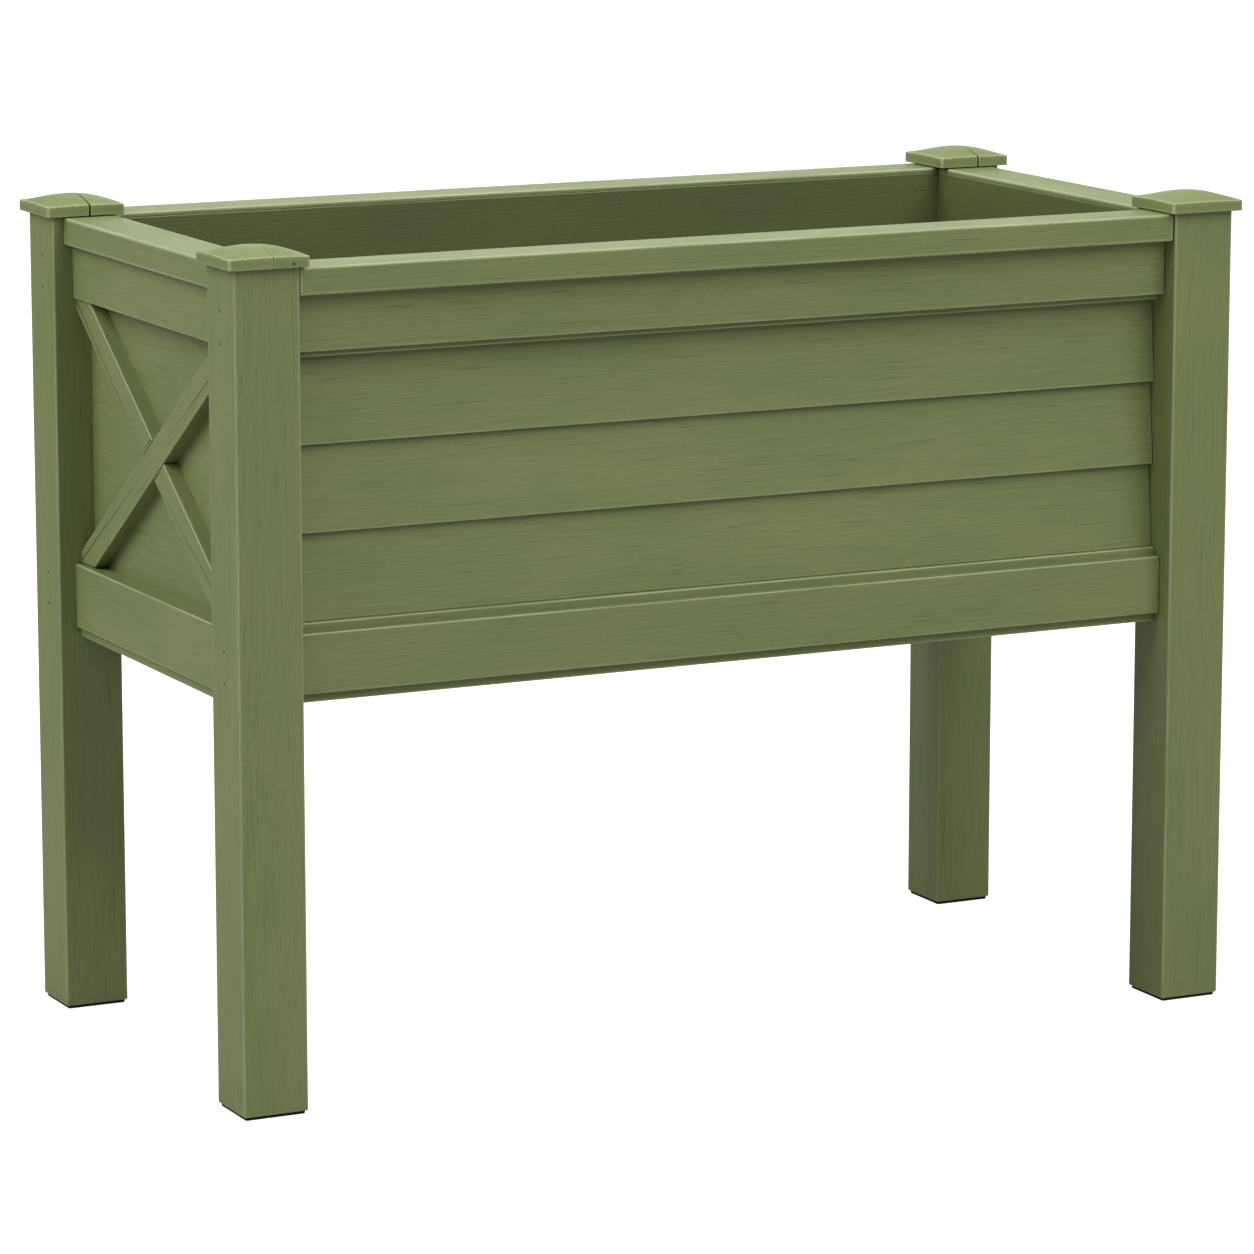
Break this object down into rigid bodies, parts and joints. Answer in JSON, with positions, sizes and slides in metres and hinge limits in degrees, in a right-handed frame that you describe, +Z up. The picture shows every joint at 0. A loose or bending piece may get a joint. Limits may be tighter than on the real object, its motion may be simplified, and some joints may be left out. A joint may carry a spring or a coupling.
{
  "type": "raised planter",
  "caption": "Rectangular planter box on square legs, with lap-sided long walls, cross-braced ends, a slatted floor, domed post caps and foot pads.",
  "frame": {"origin": "on the ground, under the middle of the box", "axes": "+X along the long side to the right, +Y from the front wall to the rear wall, +Z up"},
  "size_m": [1.055, 0.529, 0.798],
  "materials": {
    "painted_outside": "satin sage green paint over fine straight-grained softwood",
    "painted_inside": "the same satin green paint on the lining and the floor slats",
    "bare_wood": "unpainted hardwood dowel",
    "rubber_pad": "matt black rubber",
    "zinc_screw": "zinc-plated steel"
  },
  "bodies": {
    "root": {"apron_front": "painted_outside", "apron_left": "painted_outside", "apron_rear": "painted_outside", "apron_right": "painted_outside", "brace_screws": "zinc_screw", "cleat_screws": "zinc_screw", "dowels": "bare_wood", "end_panel_left": "painted_outside", "end_panel_right": "painted_outside", "end_sill_left": "painted_outside", "end_sill_right": "painted_outside", "floor_cleat_front": "painted_inside", "floor_cleat_rear": "painted_inside", "floor_slat_1": "painted_inside", "floor_slat_2": "painted_inside", "floor_slat_3": "painted_inside", "floor_slat_4": "painted_inside", "floor_slat_5": "painted_inside", "floor_slat_6": "painted_inside", "foot_pad_front_left": "rubber_pad", "foot_pad_front_right": "rubber_pad", "foot_pad_rear_left": "rubber_pad", "foot_pad_rear_right": "rubber_pad", "frame_screws": "zinc_screw", "frieze_board_front": "painted_outside", "frieze_board_left": "painted_outside", "frieze_board_rear": "painted_outside", "frieze_board_right": "painted_outside", "lining_front": "painted_inside", "lining_left": "painted_inside", "lining_rear": "painted_inside", "lining_right": "painted_inside", "long_brace_left": "painted_outside", "long_brace_right": "painted_outside", "lower_backing_front": "painted_outside", "lower_backing_rear": "painted_outside", "lower_half_brace_left": "painted_outside", "lower_half_brace_right": "painted_outside", "post_cap_front_left": "painted_outside", "post_cap_front_right": "painted_outside", "post_cap_rear_left": "painted_outside", "post_cap_rear_right": "painted_outside", "post_front_left": "painted_outside", "post_front_right": "painted_outside", "post_rear_left": "painted_outside", "post_rear_right": "painted_outside", "siding_front_1": "painted_outside", "siding_front_2": "painted_outside", "siding_front_3": "painted_outside", "siding_rear_1": "painted_outside", "siding_rear_2": "painted_outside", "siding_rear_3": "painted_outside", "top_rail_front": "painted_outside", "top_rail_left": "painted_outside", "top_rail_rear": "painted_outside", "top_rail_right": "painted_outside", "upper_backing_front": "painted_outside", "upper_backing_rear": "painted_outside", "upper_half_brace_left": "painted_outside", "upper_half_brace_right": "painted_outside"}
  },
  "joints": []
}
